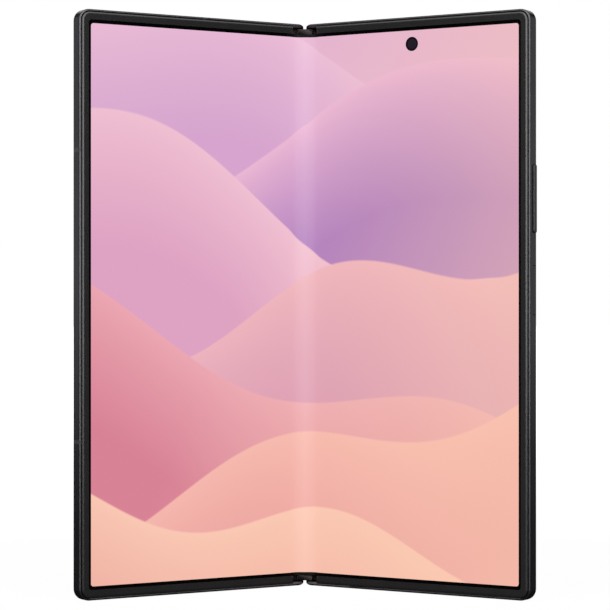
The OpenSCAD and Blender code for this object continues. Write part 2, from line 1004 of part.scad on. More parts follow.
// The tray slides out through the top wall; its face sits in a soft seal.
module sim_tray() {
    z1 = body_h - 0.04;
    color([0.15, 0.15, 0.16])
        on_left()
            difference() {
                union() {
                    beam(body_h - wall + 0.1, z1)
                        stadium(tray_u, tray_v, tray_face_w, tray_face_t);
                    box(tray_u - tray_w / 2, tray_u + tray_w / 2, tray_v - tray_t / 2, tray_v + tray_t / 2,
                        body_h - tray_len, body_h - wall + 0.2);
                }
                box(tray_u - 4.5, tray_u + 4.5, tray_v - tray_t / 2 - 1, tray_v + 0.1,
                    body_h - tray_len + 1.5, body_h - 3);
            }
}

module sim_seal() {
    color([0.05, 0.05, 0.05])
        on_left()
            beam(body_h - wall + 0.1, body_h - 0.2)
                difference() {
                    stadium(tray_u, tray_v, tray_face_w + 2 * seal_t - 0.02, tray_face_t + 2 * seal_t - 0.02);
                    stadium(tray_u, tray_v, tray_face_w + 0.06, tray_face_t + 0.06);
                }
}

module sim_reader() {
    color([0.65, 0.65, 0.67])
        on_left()
            difference() {
                box(tray_u - 7.3, tray_u + 7.3, cav_v + 0.05, glass_v - 0.3, body_h - 18.5, body_h - 2.6);
                box(tray_u - tray_w / 2 - 0.06, tray_u + tray_w / 2 + 0.06, tray_v - tray_t / 2 - 0.06,
                    tray_v + tray_t / 2 + 0.06, body_h - tray_len - 1, body_h);
            }
}

// ---- inside the right half ----

module key_slot(z0, len) {
    box(cav_u1 - 1, half_w + 2, key_v - key_w / 2 - key_gap, key_v + key_w / 2 + key_gap,
        z0 - key_gap, z0 + len + key_gap);
}

module port_opening() {
    beam(-1, wall + 1)
        stadium(port_u, port_v, port_w + 0.04, port_h + 0.04);
}

module speaker_holes() {
    for (i = [0:5])
        rod(speaker_u0 + 3 + speaker_pitch * i, hole_v, -1, wall + 1, speaker_hole_r);
}

module right_frame() {
    color([0.13, 0.13, 0.14])
        on_right()
            difference() {
                half_frame();
                end_break_slots(right_break_u);
                key_slot(volume_z, volume_len);
                key_slot(power_z, power_len);
                post(inner_cam_u, body_h - inner_cam_top, 0, cav_v + 0.5, punch_d / 2 + 0.05);
                box(port_u - port_w / 2 - 0.2, port_u + port_w / 2 + 0.2, mid_v - 0.5, cav_v + 0.5,
                    wall - eps, port_len + 0.3);
                port_opening();
                speaker_holes();
                rod(mic_u, hole_v, -1, wall + 1, mic_r);
                rod(mic_u, hole_v, body_h - wall - 1, body_h + 1, mic_r);
            }
}

module right_antenna_breaks() {
    color([0.2, 0.2, 0.21])
        on_right()
            intersection() {
                difference() {
                    half_form();
                    half_hollow();
                }
                end_break_slots(right_break_u);
            }
}

module lens_posts(v0, v1, r) {
    for (i = [-1, 0, 1])
        post(island_u, island_z + i * lens_pitch, v0, v1, r);
}

module rear_cover() {
    color([0.1, 0.1, 0.11])
        on_right()
            difference() {
                back_glass_sheet();
                lens_posts(0, 10, lens_r + 0.2);
                post(flash_u, flash_z, 0, 10, flash_r + 0.05);
            }
}

module camera_island() {
    color([0.12, 0.12, 0.13])
        on_right()
            difference() {
                slab(body_t, body_t + island_t)
                    stadium(island_u, island_z, island_w, island_h);
                lens_posts(0, 10, lens_hole_r);
                post(flash_u, flash_z, 0, 10, flash_r + 0.05);
            }
}

module camera_lens_rings() {
    color([0.4, 0.4, 0.42])
        on_right()
            difference() {
                lens_posts(body_t + 0.1, body_t + island_t + 0.1, lens_hole_r - seat_gap);
                lens_posts(0, 10, lens_r + seat_gap);
            }
}

module camera_lens_glasses() {
    color([0.04, 0.04, 0.06])
        on_right()
            lens_posts(body_t + island_t - 0.7, body_t + island_t - 0.1, lens_r);
}

module rear_camera_modules() {
    color([0.2, 0.2, 0.22])
        on_right() {
            slab(lay_v, glass_v - 0.15)
                for (i = [-1, 0, 1])
                    square_at(island_u, island_z + i * lens_pitch, module_side);
            lens_posts(glass_v - 0.2, body_t + island_t - 0.75, lens_r - 0.05);
        }
}

module flash_lens() {
    color([0.9, 0.88, 0.75])
        on_right()
            post(flash_u, flash_z, glass_v + 0.02, body_t + island_t - 0.05, flash_r);
}

module inner_camera() {
    z = body_h - inner_cam_top;
    color([0.03, 0.03, 0.04])
        on_right() {
            slab(lay_v, glass_v - 0.4)
                square_at(inner_cam_u, z, inner_cam_side);
            post(inner_cam_u, z, screen_v + 0.05, cav_v + 0.2, punch_d / 2 - 0.02);
        }
}

module main_board() {
    color([0.1, 0.28, 0.16])
        on_right()
            difference() {
                slab(lay_v, board_v)
                    round_rect(board_u0, board_u1, board_z0, body_h - 3, 1, 1);
                box(inner_cam_u - inner_cam_side / 2 - 0.3, inner_cam_u + inner_cam_side / 2 + 0.3, 0, 5,
                    cam_clear_z, body_h);
                box(island_u - module_side / 2 - 0.3, half_w, 0, 5,
                    island_z - lens_pitch - module_side / 2 - 0.5,
                    island_z + lens_pitch + module_side / 2 + 0.5);
            }
}

module shield_cans() {
    color([0.62, 0.62, 0.64])
        on_right()
            for (can = [
                [can_u0, can_z0, can_split], [can_u1, can_z0, can_split + can_step],
                [can_u0, can_split + can_aisle, can_top],
                [can_u1, can_split + can_step + can_aisle, cam_clear_z - 5.4]
            ])
                box(can[0], can[0] + can_w, board_v, board_v + can_t, can[1], can[2]);
}

module right_battery() {
    color([0.18, 0.18, 0.2])
        on_right()
            slab(lay_v, glass_v - 0.35)
                round_rect(pack_u0, right_cell_u1, right_cell_z0, right_cell_z1, cell_r, cell_r);
}

module charging_coil() {
    color([0.7, 0.42, 0.22])
        on_right()
            difference() {
                post(coil_u, coil_z, glass_v - 0.3, glass_v - 0.06, coil_r);
                post(coil_u, coil_z, 0, 10, coil_r / 2);
            }
}

module usb_shell() {
    color([0.6, 0.6, 0.62])
        on_right()
            difference() {
                beam(0.15, port_len)
                    stadium(port_u, port_v, port_w, port_h);
                beam(-1, port_len - 0.6)
                    stadium(port_u, port_v, port_w - 2 * port_wall, port_h - 2 * port_wall);
            }
}

module usb_tongue() {
    color([0.08, 0.08, 0.08])
        on_right()
            box(port_u - 3.35, port_u + 3.35, port_v - 0.35, port_v + 0.35, 1.2, port_len - 0.6);
}

module loudspeaker() {
    color([0.22, 0.22, 0.23])
        on_right()
            slab(lay_v, glass_v - 0.3)
                round_rect(speaker_u0, speaker_u1, wall + 0.2, speaker_z1, 1, 1);
}

module haptic_motor() {
    color([0.55, 0.55, 0.57])
        on_right()
            slab(lay_v, glass_v - 0.3)
                round_rect(pack_u0, pack_u0 + motor_w, motor_z0, motor_z1, 1, 1);
}

// A key: its cap in the slot, with a small flange inside the wall.
module key(z0, len, u1, flange) {
    zm = z0 + len / 2;
    v0 = key_v - key_w / 2;
    v1 = key_v + key_w / 2;
    box(cav_u1 - 0.1, u1, v0, v1, z0, z0 + len);
    box(cav_u1 - key_flange, cav_u1 - 0.1 + eps, v0 - 0.35, v1, zm - flange, zm + flange);
}

// The volume key rocks on a round bead behind its middle.
module volume_key() {
    color([0.15, 0.15, 0.16])
        on_right() {
            key(volume_z, volume_len, half_w + volume_out, 2.5);
            post(rock_u, volume_z + volume_len / 2, key_v - 0.7, key_v + 0.7, rock_r);
        }
}

module power_key() {
    color([0.15, 0.15, 0.16])
        on_right()
            key(power_z, power_len, half_w - 0.05, 4);
}

// A strip with one switch for the power key, and two with a rest between them for the volume key.
module key_switches() {
    z1 = volume_z + volume_len;
    color([0.7, 0.7, 0.6])
        on_right() {
            box(switch_u0, switch_u0 + switch_t, key_v - 0.9, key_v + 0.9, power_z, z1);
            for (stud = [
                [power_z + power_len / 2, switch_u1],
                [volume_z + 3, cav_u1 - 0.3],
                [volume_z + volume_len / 2, rock_u - rock_r - seat_gap],
                [z1 - 3, cav_u1 - 0.3]
            ])
                box(switch_u0 + switch_t - eps, stud[1], key_v - 0.7, key_v + 0.7, stud[0] - 1, stud[0] + 1);
        }
}

spine_cover();
spine_end_caps();
hinge_brackets();
bracket_screws();
center_rail();
friction_discs();
hinge_flex();
main_display_fold();
left_idler_gears();
right_idler_gears();
left_frame();
left_bezel();
left_display_plate();
main_display_left();
cover_glass();
cover_display();
cover_camera();
left_battery();
left_sub_board();
earpiece_speaker();
earpiece_mesh();
left_magnets();
left_antenna_breaks();
left_gear_shafts();
left_hinge_arms();
left_arm_screws();
left_wing();
sim_tray();
sim_seal();
sim_reader();
right_frame();
right_bezel();
right_display_plate();
main_display_right();
rear_cover();
camera_island();
camera_lens_rings();
camera_lens_glasses();
rear_camera_modules();
flash_lens();
inner_camera();
main_board();
shield_cans();
right_battery();
charging_coil();
usb_shell();
usb_tongue();
loudspeaker();
haptic_motor();
right_magnets();
right_antenna_breaks();
right_gear_shafts();
right_hinge_arms();
right_arm_screws();
right_wing();
volume_key();
power_key();
key_switches();
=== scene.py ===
import math

import bmesh
import bpy
from mathutils import Matrix, Vector


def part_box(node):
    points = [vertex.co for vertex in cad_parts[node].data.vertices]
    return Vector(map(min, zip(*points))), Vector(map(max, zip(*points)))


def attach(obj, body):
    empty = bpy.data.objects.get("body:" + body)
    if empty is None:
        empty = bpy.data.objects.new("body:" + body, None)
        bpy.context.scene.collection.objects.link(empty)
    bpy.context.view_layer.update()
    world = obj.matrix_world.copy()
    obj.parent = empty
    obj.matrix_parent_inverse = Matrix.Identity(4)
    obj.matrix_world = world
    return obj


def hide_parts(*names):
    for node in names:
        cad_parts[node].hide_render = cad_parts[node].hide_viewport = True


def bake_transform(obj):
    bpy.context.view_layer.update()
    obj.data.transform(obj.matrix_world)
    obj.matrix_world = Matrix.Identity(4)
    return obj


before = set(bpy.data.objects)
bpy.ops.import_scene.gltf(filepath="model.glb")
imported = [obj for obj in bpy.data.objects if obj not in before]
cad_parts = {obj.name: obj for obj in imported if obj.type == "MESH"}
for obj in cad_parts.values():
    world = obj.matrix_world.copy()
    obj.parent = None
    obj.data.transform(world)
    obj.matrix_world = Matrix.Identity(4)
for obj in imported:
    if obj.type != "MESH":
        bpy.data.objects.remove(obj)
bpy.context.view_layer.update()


# ---------------------------------------------------------------------------
# Studio: a pale floor that the phone stands on, a white surround, a long lens
# square to the hinge, and soft boxes above, in front and behind. Black cloths
# at the sides and above keep flat faces dark beside their bright round edges.
# ---------------------------------------------------------------------------
mm = 0.001
scene = bpy.context.scene
scene.view_settings.view_transform = "Standard"

# The fold line at the inner screen's face lies this far behind the origin.
hinge_cover_depth = 3.65 * mm
y_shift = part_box("spine_cover")[1].y - hinge_cover_depth

frame_px, focal_px, off_right_px, off_up_px = 610, 2386.6, 0.17, -0.24
camera_away, half_height = 673.1 * mm, 79.2 * mm
lens = bpy.data.cameras.new("long_lens")
lens.sensor_width = 36
lens.lens = focal_px * 36 / frame_px
lens.shift_x = off_right_px / frame_px
lens.shift_y = off_up_px / frame_px
lens.clip_start = 0.01
lens.clip_end = 20
camera = bpy.data.objects.new("camera", lens)
camera.location = (0, y_shift - camera_away, half_height)
camera.rotation_euler = (math.pi / 2, 0, 0)
scene.collection.objects.link(camera)
scene.camera = camera


def arithmetic(tree, kind, a, b=None, c=None, clamp=False):
    """A maths node on numbers or sockets; returns its output."""
    node = tree.nodes.new("ShaderNodeMath")
    node.operation = kind
    node.use_clamp = clamp
    for i, value in enumerate((a, b, c)):
        if isinstance(value, (int, float)):
            node.inputs[i].default_value = value
        elif value is not None:
            tree.links.new(value, node.inputs[i])
    return node.outputs[0]


def seen(tree, near=1.0, near_mirrored=1.0):
    """How much of the white shows to the camera, straight or in metal and glass. The phone gets no light from it."""
    rays = tree.nodes.new("ShaderNodeLightPath").outputs
    mirrored = arithmetic(tree, "MAXIMUM", rays["Is Glossy Ray"], rays["Is Transmission Ray"])
    return arithmetic(tree, "MAXIMUM", arithmetic(tree, "MULTIPLY", rays["Is Camera Ray"], near),
                      arithmetic(tree, "MULTIPLY", mirrored, near_mirrored))


plain_light = 0.15
world = bpy.data.worlds.new("white_surround")
scene.world = world
world.use_nodes = True
tree = world.node_tree
tree.nodes["Background"].inputs["Color"].default_value = (1, 1, 1, 1)
tree.links.new(arithmetic(tree, "MAXIMUM", seen(tree), plain_light), tree.nodes["Background"].inputs["Strength"])

floor_reach = 8
floor_mesh = bpy.data.meshes.new("floor")
bm = bmesh.new()
bmesh.ops.create_grid(bm, x_segments=1, y_segments=1, size=floor_reach)
bm.to_mesh(floor_mesh)
bm.free()
floor = bpy.data.objects.new("floor", floor_mesh)
scene.collection.objects.link(floor)
paint = bpy.data.materials.new("pale_floor")
paint.use_nodes = True
tree = paint.node_tree
tree.nodes.remove(tree.nodes["Principled BSDF"])
matt = tree.nodes.new("ShaderNodeBsdfDiffuse")
matt.inputs["Color"].default_value = (0.1, 0.1, 0.1, 1)
glow = tree.nodes.new("ShaderNodeEmission")
glow.inputs["Strength"].default_value = 1.38
where = tree.nodes.new("ShaderNodeTexCoord")
away = tree.nodes.new("ShaderNodeVectorMath")
away.operation = "LENGTH"
tree.links.new(where.outputs["Object"], away.inputs[0])
distance = away.outputs["Value"]
# To the camera the floor is all white from a metre out, and nearer three tenths of it take the shadow.
# Metal and glass show its white only beyond a metre, so that it doesn't light up the phone's lower rims.
whole_white = arithmetic(tree, "MULTIPLY_ADD", distance, 1.2, -0.2, clamp=True)
share = seen(tree, arithmetic(tree, "MULTIPLY_ADD", whole_white, 0.3, 0.7),
             arithmetic(tree, "MULTIPLY_ADD", distance, 1.5, -1.5, clamp=True))
layers = tree.nodes.new("ShaderNodeMixShader")
tree.links.new(share, layers.inputs["Fac"])
tree.links.new(matt.outputs[0], layers.inputs[1])
tree.links.new(glow.outputs[0], layers.inputs[2])
tree.links.new(layers.outputs[0], tree.nodes["Material Output"].inputs["Surface"])
floor_mesh.materials.append(paint)


def soft_box(name, place, width, height, watts):
    """An area lamp that faces the middle of the phone."""
    light = bpy.data.lights.new(name, "AREA")
    light.shape = "RECTANGLE"
    light.size = width
    light.size_y = height
    light.energy = watts
    box = bpy.data.objects.new(name, light)
    box.location = place
    aim = Vector((0, 0, 79 * mm)) - Vector(place)
    box.rotation_euler = aim.to_track_quat("-Z", "Y").to_euler()
    scene.collection.objects.link(box)


soft_box("left_box", (-0.62, -1.03, 0.42), 0.5, 1.1, 9.5)
soft_box("right_box", (0.62, -1.03, 0.42), 0.5, 1.1, 8.5)
soft_box("top_box", (0, -0.4, 0.95), 2.2, 0.6, 8.5)
soft_box("back_box", (0, 1.2, 0.9), 1.6, 0.7, 11)

cloth = bpy.data.materials.new("black_cloth")
cloth.use_nodes = True
shader = cloth.node_tree.nodes["Principled BSDF"]
shader.inputs["Base Color"].default_value = (0.02, 0.02, 0.02, 1)
shader.inputs["Roughness"].default_value = 1


def hang(name, width, length, turn, place):
    """A black cloth of the given size, turned about the y axis; the camera and rays through glass don't see it."""
    mesh = bpy.data.meshes.new(name)
    bm = bmesh.new()
    bmesh.ops.create_grid(bm, x_segments=1, y_segments=1, size=0.5)
    bmesh.ops.scale(bm, vec=(width, length, 1), verts=bm.verts)
    bmesh.ops.rotate(bm, cent=(0, 0, 0), matrix=Matrix.Rotation(turn, 3, "Y"), verts=bm.verts)
    bmesh.ops.translate(bm, vec=place, verts=bm.verts)
    bm.to_mesh(mesh)
    bm.free()
    mesh.materials.append(cloth)
    sheet = bpy.data.objects.new(name, mesh)
    sheet.visible_camera = False
    sheet.visible_transmission = False
    scene.collection.objects.link(sheet)


for name, x in (("left_cloth", -1), ("right_cloth", 1)):
    hang(name, 0.65, 1.4, math.pi / 2, (x, -0.4, 0.325))
hang("top_cloth", 4.8, 3.2, 0, (0, 1.6, 1.3))


# ---------------------------------------------------------------------------
# The two frames: machined aluminium, bead blasted and anodised black. Each one
# carries its half of the phone. The plastic breaks let the aerials work and
# are moulded into slots in the metal.
# ---------------------------------------------------------------------------
def speckle(tree, size, stretch, detail=4):
    """Noise on object coordinates, with features of about the given size in metres."""
    where = tree.nodes.new("ShaderNodeTexCoord")
    turn = tree.nodes.new("ShaderNodeMapping")
    turn.inputs["Scale"].default_value = stretch
    tree.links.new(where.outputs["Object"], turn.inputs["Vector"])
    noise = tree.nodes.new("ShaderNodeTexNoise")
    noise.inputs["Scale"].default_value = 1 / size
    noise.inputs["Detail"].default_value = detail
    tree.links.new(turn.outputs["Vector"], noise.inputs["Vector"])
    return noise.outputs["Fac"]


def spread(tree, source, low, high, socket):
    """Turns a noise into a number between low and high on a shader's socket."""
    step = tree.nodes.new("ShaderNodeMapRange")
    step.inputs["From Min"].default_value = 0.3
    step.inputs["From Max"].default_value = 0.7
    step.inputs["To Min"].default_value = low
    step.inputs["To Max"].default_value = high
    tree.links.new(source, step.inputs["Value"])
    tree.links.new(step.outputs["Result"], socket)


def tint(tree, source, dark, light, socket):
    """Turns a noise into a colour between two near colours."""
    ramp = tree.nodes.new("ShaderNodeValToRGB")
    ramp.color_ramp.elements[0].position = 0.3
    ramp.color_ramp.elements[0].color = (*dark, 1)
    ramp.color_ramp.elements[1].position = 0.7
    ramp.color_ramp.elements[1].color = (*light, 1)
    tree.links.new(source, ramp.inputs["Fac"])
    tree.links.new(ramp.outputs["Color"], socket)


def finish(name, dark, light, metal, rough, grain, patch, stretch=(1, 1, 1), relief=0.0, specular=0.5):
    """A finish with a fine grain in its gloss, larger patches in its colour and a little relief."""
    material = bpy.data.materials.new(name)
    material.use_nodes = True
    tree = material.node_tree
    shader = tree.nodes["Principled BSDF"]
    shader.inputs["Metallic"].default_value = metal
    shader.inputs["Specular IOR Level"].default_value = specular
    fine = speckle(tree, grain, stretch)
    spread(tree, fine, rough[0], rough[1], shader.inputs["Roughness"])
    tint(tree, speckle(tree, patch, stretch, 2), dark, light, shader.inputs["Base Color"])
    if relief:
        bump = tree.nodes.new("ShaderNodeBump")
        bump.inputs["Strength"].default_value = 0.2
        bump.inputs["Distance"].default_value = relief
        tree.links.new(fine, bump.inputs["Height"])
        tree.links.new(bump.outputs["Normal"], shader.inputs["Normal"])
    return material


def smooth(mesh, degrees):
    """Shades a mesh smoothly, with its edges sharper than the angle kept."""
    mesh.polygons.foreach_set("use_smooth", [True] * len(mesh.polygons))
    mesh.set_sharp_from_angle(angle=math.radians(degrees))


def settle(piece, body, slot_name, *nodes):
    """Hands a finished piece to its body, with its flat faces shaded flat up to their rounded rims."""
    even = piece.modifiers.new("even_normals", "WEIGHTED_NORMAL")
    even.keep_sharp = True
    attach(piece, body)
    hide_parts(*nodes)
    return piece


def recast(node, material, body, slot_name):
    """A CAD node's own form, with its corners merged so that its curves shade smoothly."""
    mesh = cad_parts[node].data.copy()
    bm = bmesh.new()
    bm.from_mesh(mesh)
    bmesh.ops.remove_doubles(bm, verts=bm.verts[:], dist=0.0005 * mm)
    bm.to_mesh(mesh)
    bm.free()
    mesh.materials.clear()
    mesh.materials.append(material)
    smooth(mesh, 28)
    piece = bpy.data.objects.new(node + "_part", mesh)
    scene.collection.objects.link(piece)
    return settle(piece, body, slot_name, node)


anodised = finish("anodised_black", (0.064, 0.063, 0.068), (0.074, 0.073, 0.079), 1.0, (0.27, 0.32),
                  0.25 * mm, 14 * mm, relief=0.001 * mm)
# A dark dyed oxide mirrors little even at a low angle.
anodised.node_tree.nodes["Principled BSDF"].inputs["Specular Tint"].default_value = (0.42, 0.42, 0.42, 1)
break_plastic = finish("break_plastic", (0.019, 0.019, 0.021), (0.024, 0.024, 0.026), 0.0, (0.42, 0.58),
                       0.2 * mm, 3 * mm)
for side in ("left", "right"):
    recast(side + "_frame", anodised, side + "_half", "satin_frame")
    recast(side + "_antenna_breaks", break_plastic, side + "_half", "frame_break")


# ---------------------------------------------------------------------------
# The soft bezels: moulded rings round each half of the inner screen, open at
# the hinge, with a rounded outer shoulder. They lie over the screen's rim, are
# glued to the frames, and keep the two closed halves apart.
# ---------------------------------------------------------------------------
body_h, half_w, body_t, corner_r = 158.4 * mm, 71.6 * mm, 4.2 * mm, 3.1 * mm
axis_u, axis_v = 2.1 * mm, 1.9 * mm
half_fold = math.radians(32)
swing_right = (
    Matrix.Translation((axis_u, axis_v + y_shift, 0))
    @ Matrix.Rotation(-half_fold, 4, "Z")
    @ Matrix.Translation((-axis_u, -axis_v, 0))
)
swing = {"right": swing_right, "left": Matrix.Scale(-1, 4, (1, 0, 0)) @ swing_right}


def block(low, high, axis=1, radius=0, near=0, far=0, steps=10, edge_steps=4, outer_only=False):
    """A block in a half's own coordinates: round corners along one axis, and round rims at its two ends."""
    bm = bmesh.new()
    bmesh.ops.create_cube(bm, size=1)
    bmesh.ops.scale(bm, vec=[h - l for l, h in zip(low, high)], verts=bm.verts)
    bmesh.ops.translate(bm, vec=[(l + h) / 2 for l, h in zip(low, high)], verts=bm.verts)
    middle = (low[0] + high[0]) / 2
    if radius:
        edges = [
            e for e in bm.edges
            if abs(e.verts[0].co[axis] - e.verts[1].co[axis]) > (high[axis] - low[axis]) / 2
            and (e.verts[0].co.x > middle or not outer_only)
        ]
        bmesh.ops.bevel(bm, geom=edges, offset=radius, offset_type="OFFSET", segments=steps,
                        profile=0.5, affect="EDGES", material=-1, clamp_overlap=False)
    for rim_r, end in ((near, low[axis]), (far, high[axis])):
        if rim_r:
            rim = [e for e in bm.edges if all(abs(p.co[axis] - end) < 1e-7 for p in e.verts)]
            bmesh.ops.bevel(bm, geom=rim, offset=rim_r, offset_type="OFFSET", segments=edge_steps,
                            profile=0.5, affect="EDGES", material=-1, clamp_overlap=False)
    return bm


def make(bm, name, material, side=None):
    """Turns a bmesh into a piece, swung into place with its half."""
    if side:
        bmesh.ops.transform(bm, matrix=swing[side], verts=bm.verts)
    bmesh.ops.recalc_face_normals(bm, faces=bm.faces)
    mesh = bpy.data.meshes.new(name)
    bm.to_mesh(mesh)
    bm.free()
    mesh.materials.append(material)
    smooth(mesh, 35)
    piece = bpy.data.objects.new(name, mesh)
    scene.collection.objects.link(piece)
    return piece


def fix(piece):
    """Applies a piece's modifiers to its mesh."""
    mesh = bpy.data.meshes.new_from_object(piece.evaluated_get(bpy.context.evaluated_depsgraph_get()))
    piece.modifiers.clear()
    piece.data = mesh
    return piece


def carve(piece, *cutters):
    """Cuts the given bmeshes out of a piece."""
    tools = [make(cutter, "cutter", piece.data.materials[0]) for cutter in cutters]
    for tool in tools:
        cut = piece.modifiers.new("cut", "BOOLEAN")
        cut.object = tool
        cut.solver = "MANIFOLD"
        cut.operation = "DIFFERENCE"
    fix(piece)
    for tool in tools:
        bpy.data.objects.remove(tool)
    return piece


def soften(piece, width, side):
    """Rounds a piece's sharp edges a little, then swings it into place."""
    degrees = 40
    bevel = piece.modifiers.new("soft_edges", "BEVEL")
    bevel.width = width
    bevel.segments = 2
    bevel.limit_method = "ANGLE"
    bevel.angle_limit = math.radians(degrees)
    fix(piece)
    piece.data.transform(swing[side])
    if side == "left":
        piece.data.flip_normals()
    smooth(piece.data, degrees)
    return piece


soft_black = finish("soft_black", (0.0095, 0.0095, 0.0098), (0.0115, 0.0115, 0.0118), 0.0, (0.22, 0.27),
                    0.3 * mm, 6 * mm, relief=0.001 * mm, specular=0.5)
bezel_in, bezel_u, bezel_side, bezel_end, bezel_t = 0.75 * mm, 4.5 * mm, 2 * mm, 2.1 * mm, 0.3 * mm
# The block is made three times as tall as the bezel is thick and pressed flat, so its shoulder is elliptic.
shoulder, tall, inner_corner = 0.7 * mm, 0.9 * mm, 0.8 * mm
for side in ("left", "right"):
    bm = block((bezel_u, 0, bezel_in), (half_w - bezel_in, tall, body_h - bezel_in), 1,
               corner_r - bezel_in, near=shoulder, edge_steps=6, outer_only=True)
    bmesh.ops.scale(bm, vec=(1, bezel_t / tall, 1), verts=bm.verts)
    ring = make(bm, side + "_soft_bezel", soft_black)
    end, out = bezel_in + bezel_end, half_w - bezel_in - bezel_side
    carve(ring, block((-mm, -mm, end), (out, mm, body_h - end), 1, inner_corner, outer_only=True))
    settle(soften(ring, 0.05 * mm, side), side + "_half", "soft_bezel", side + "_bezel")


# ---------------------------------------------------------------------------
# The inner screen: one thin sheet that is glued flat to each half and bends
# in a soft curve behind the fold line. Its two sides are made apart, meet at
# the fold, and show one picture of layered dunes with a black border.
# ---------------------------------------------------------------------------
def tone(r, g, b):
    """A screen colour in steps of 255, as the light that a shader wants."""
    return tuple(((c / 255 + 0.055) / 1.055) ** 2.4 for c in (r, g, b))


def mixed(tree, factor, first, second):
    """A mix of two colours or sockets by a factor."""
    node = tree.nodes.new("ShaderNodeMix")
    node.data_type = "RGBA"
    tree.links.new(factor, node.inputs["Factor"])
    for value, socket in ((first, node.inputs["A"]), (second, node.inputs["B"])):
        if isinstance(value, tuple):
            socket.default_value = (*value, 1)
        else:
            tree.links.new(value, socket)
    return node.outputs["Result"]


lit_screen = bpy.data.materials.new("lit_screen")
lit_screen.use_nodes = True
tree = lit_screen.node_tree
shader = tree.nodes["Principled BSDF"]
shader.inputs["Base Color"].default_value = (0, 0, 0, 1)
shader.inputs["Specular IOR Level"].default_value = 0.12
shader.inputs["Emission Strength"].default_value = 1.0
flat_map = tree.nodes.new("ShaderNodeUVMap")
flat_map.uv_map = "flat"
split = tree.nodes.new("ShaderNodeSeparateXYZ")
tree.links.new(flat_map.outputs["UV"], split.inputs[0])
across, up = split.outputs["X"], split.outputs["Y"]

# Each dune: height of its ridge at the fold, slope, height and pitch of its waves, phase, crest and foot colours.
dunes = [
    (0.93, -0.11, 0.060, 3.2, 2.4, (236, 190, 214), (214, 164, 206)),
    (0.80, 0.13, 0.055, 3.0, 0.4, (236, 184, 212), (166, 116, 190)),
    (0.65, -0.16, 0.060, 3.5, 3.9, (240, 192, 210), (222, 162, 194)),
    (0.51, 0.10, 0.050, 4.1, 1.0, (238, 180, 190), (212, 148, 180)),
    (0.37, -0.13, 0.055, 3.3, 5.4, (236, 168, 178), (216, 130, 150)),
    (0.24, 0.12, 0.045, 3.8, 2.2, (246, 184, 174), (228, 146, 152)),
    (0.11, -0.07, 0.040, 4.4, 0.9, (250, 200, 180), (236, 170, 158)),
]
picture = mixed(tree, up, tone(236, 190, 208), tone(228, 180, 206))
for ridge, slope, wave, pitch, phase, crest, foot in dunes:
    swell = arithmetic(tree, "SINE", arithmetic(tree, "MULTIPLY_ADD", across, pitch, phase))
    line = arithmetic(tree, "MULTIPLY_ADD", across, slope, ridge)
    below = arithmetic(tree, "SUBTRACT", arithmetic(tree, "MULTIPLY_ADD", swell, wave, line), up)
    inside = arithmetic(tree, "MULTIPLY", below, 260.0, clamp=True)
    depth = arithmetic(tree, "POWER", arithmetic(tree, "MULTIPLY", below, 4.2, clamp=True), 0.8)
    picture = mixed(tree, inside, picture, mixed(tree, depth, tone(*crest), tone(*foot)))
glow_right = arithmetic(tree, "MULTIPLY_ADD", across, 0.36, 0.3)
warmth = arithmetic(tree, "MULTIPLY_ADD", up, -0.34, glow_right, clamp=True)
picture = mixed(tree, warmth, picture, tone(252, 202, 176))

# The lit area ends in a black border with small round corners.
corner, lit_side, lit_end = 0.75 * mm, 3.5 * mm, 3.78 * mm
from_fold = arithmetic(tree, "ABSOLUTE", across)
from_middle = arithmetic(tree, "ABSOLUTE", arithmetic(tree, "SUBTRACT", up, 0.5))
far = None
for place, straight, span in (
    (from_fold, (half_w - lit_side - corner) / half_w, half_w),
    (from_middle, 0.5 - (lit_end + corner) / body_h, body_h),
):
    out = arithmetic(tree, "MAXIMUM", arithmetic(tree, "SUBTRACT", place, straight), 0.0)
    squared = arithmetic(tree, "POWER", arithmetic(tree, "MULTIPLY", out, span / corner), 2.0)
    far = squared if far is None else arithmetic(tree, "ADD", far, squared)
lit = arithmetic(tree, "LESS_THAN", far, 1.0)
tree.links.new(mixed(tree, lit, (0.0, 0.0, 0.0), picture), shader.inputs["Emission Color"])
# The stretched sheet at the fold is rougher, and its base colour there is lightened as a painted highlight, which
# shows as a faint crease.
crease_w = 4.8 * mm
painted_highlight_band = arithmetic(tree, "MULTIPLY_ADD", from_fold, -half_w / crease_w, 1.0, clamp=True)
painted_crease_highlight = arithmetic(tree, "MULTIPLY", painted_highlight_band, lit)
tree.links.new(mixed(tree, painted_crease_highlight, (0.0, 0.0, 0.0), (0.036, 0.042, 0.046)), shader.inputs["Base Color"])
stretched = arithmetic(tree, "MULTIPLY_ADD", from_fold, -half_w / (7 * mm), 1.1, clamp=True)
uneven = arithmetic(tree, "MULTIPLY_ADD", speckle(tree, 9 * mm, (1, 1, 0.5), 3), 0.06, 0.17)
tree.links.new(arithmetic(tree, "MULTIPLY_ADD", stretched, 0.5, uneven), shader.inputs["Roughness"])

dark_backing = finish("screen_backing", (0.008, 0.008, 0.009), (0.012, 0.012, 0.013), 0.0, (0.35, 0.5),
                      0.4 * mm, 9 * mm, relief=0.004 * mm, specular=0.3)
flex_u, screen_v, screen_t, border_end = 6 * mm, 0.3 * mm, 0.35 * mm, 2.95 * mm
camera_u, camera_z, punch_r = 35.3 * mm, body_h - 7.5 * mm, 1.95 * mm
fold_start = Vector((0, screen_v + y_shift, body_h / 2))
fold_end = swing_right @ Vector((flex_u, screen_v, body_h / 2))


def folded(u, v):
    """Where a point of the flat sheet lies at rest, so that unfolding its bend makes it flat again."""
    along = fold_end - fold_start
    share = u / flex_u
    for _ in range(30):
        share = min(max(share, 0), 1)
        angle = half_fold * share * share * (3 - 2 * share)
        du, dv = u - axis_u, v - axis_v
        x = axis_u + du * math.cos(angle) + dv * math.sin(angle)
        y = axis_v + y_shift - du * math.sin(angle) + dv * math.cos(angle)
        share = (x * along.x + (y - fold_start.y) * along.y) / along.length_squared
    return x, y


